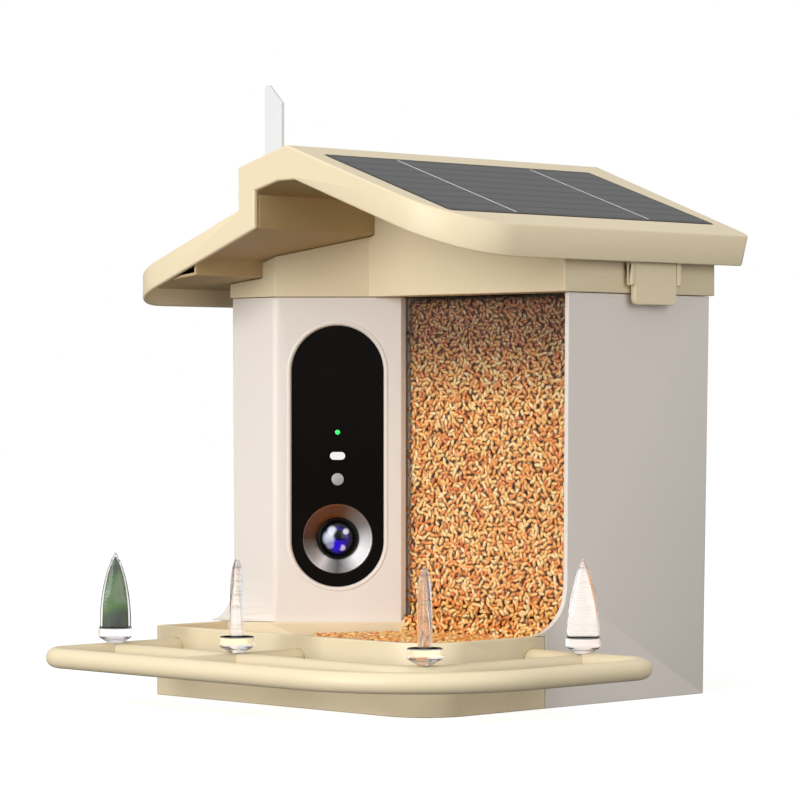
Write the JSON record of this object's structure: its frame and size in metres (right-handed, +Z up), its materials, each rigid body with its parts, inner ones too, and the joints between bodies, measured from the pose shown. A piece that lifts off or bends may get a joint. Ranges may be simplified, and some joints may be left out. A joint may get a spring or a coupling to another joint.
{
  "type": "smart bird feeder",
  "caption": "House-shaped bird feeder with a hinged solar roof, a clear seed hopper, a camera column, a tray, a looped perch rail with clear spikes and a folding antenna.",
  "frame": {"origin": "middle of the house's base, on the surface it stands on", "axes": "+Z up; -Y towards the front gable; +X towards the side with the latch and the solar panel"},
  "size_m": [0.3129, 0.3303, 0.3114],
  "materials": {
    "white_plastic": "satin moulded",
    "beige_plastic": "satin moulded",
    "black_gloss": "gloss",
    "dark_plastic": "satin",
    "clear_plastic": "clear",
    "frosted_plastic": "frosted",
    "seeds": "dry husk",
    "solar_cell": "gloss",
    "steel": "brushed",
    "ring_metal": "turned",
    "rubber": "matte",
    "circuit_board": "solder mask",
    "lens_glass": "coated",
    "green_light": "lit",
    "white_light": "frosted",
    "grey_lens": "frosted",
    "cell_wrap": "shrink wrap"
  },
  "bodies": {
    "house": {"body_shell": "white_plastic", "collar": "beige_plastic", "seed_window": "clear_plastic", "hopper_partition": "white_plastic", "hopper_ramp": "white_plastic", "seed_fill": "seeds", "tray": "beige_plastic", "perch_frame": "beige_plastic", "camera_bezel": "black_gloss", "bezel_gasket": "rubber", "lens_ring": "ring_metal", "lens_barrel": "black_gloss", "lens_front": "lens_glass", "lens_rear": "lens_glass", "image_sensor": "dark_plastic", "camera_housing": "dark_plastic", "sensor_board": "circuit_board", "main_board": "circuit_board", "status_led": "green_light", "light_window": "white_light", "pir_lens": "grey_lens", "pir_sensor": "steel", "battery_tray": "dark_plastic", "battery_cell_left": "cell_wrap", "battery_cell_right": "cell_wrap", "service_door": "white_plastic", "door_screw_1": "steel", "door_screw_2": "steel", "mount_plate": "white_plastic", "plate_screw_1": "steel", "plate_screw_2": "steel", "usb_socket": "steel", "speaker": "dark_plastic", "tray_screw_1": "steel", "tray_screw_2": "steel", "hinge_pin": "steel"},
    "roof": {"roof_shell": "beige_plastic", "eave_liner": "beige_plastic", "solar_panel": "solar_cell", "junction_box": "dark_plastic", "antenna_base": "white_plastic", "antenna_pin": "steel", "latch_pin": "steel"},
    "latch": {"latch_clip": "beige_plastic"},
    "antenna": {"antenna_blade": "frosted_plastic"},
    "button": {"power_button": "rubber"},
    "flap": {"usb_flap": "rubber"},
    "spike_front_left": {"spike_1": "clear_plastic"},
    "spike_front_middle": {"spike_2": "clear_plastic"},
    "spike_corner": {"spike_3": "clear_plastic"},
    "spike_side": {"spike_4": "clear_plastic"}
  },
  "joints": [
    {"name": "roof_hinge", "type": "hinge", "parent": "house", "child": "roof", "pos_m": [-0.1062, 0, 0.2054], "axis": [0, -1, 0], "range_deg": [0, 60]},
    {"name": "latch_pivot", "type": "hinge", "parent": "roof", "child": "latch", "pos_m": [0.105, 0, 0.2186], "axis": [0, -1, 0], "range_deg": [0, 25], "stiffness_Nm_per_rad": 0.05},
    {"name": "antenna_tilt", "type": "hinge", "parent": "roof", "child": "antenna", "pos_m": [-0.0697, -0.09, 0.2406], "axis": [-1, 0, 0], "range_deg": [0, 90]},
    {"name": "button_press", "type": "slide", "parent": "house", "child": "button", "axis": [0, -0.9999, 0.0148], "range_m": [0, 0.0012], "stiffness_N_per_m": 400},
    {"name": "flap_hinge", "type": "hinge", "parent": "house", "child": "flap", "pos_m": [-0.014, 0.05436, 0.03098], "axis": [-1, 0, 0], "range_deg": [0, 100]},
    {"name": "spike_turn_front_left", "type": "hinge", "parent": "house", "child": "spike_front_left", "pos_m": [-0.078, -0.1898, 0.02865], "axis": [0, 0, 1], "range_deg": [-180, 180]},
    {"name": "spike_turn_front_middle", "type": "hinge", "parent": "house", "child": "spike_front_middle", "pos_m": [0.0114, -0.1898, 0.02865], "axis": [0, 0, 1], "range_deg": [-180, 180]},
    {"name": "spike_turn_corner", "type": "hinge", "parent": "house", "child": "spike_corner", "pos_m": [0.12666, -0.17905, 0.02865], "axis": [0, 0, 1], "range_deg": [-180, 180]},
    {"name": "spike_turn_side", "type": "hinge", "parent": "house", "child": "spike_side", "pos_m": [0.1321, -0.0775, 0.02865], "axis": [0, 0, 1], "range_deg": [-180, 180]}
  ]
}
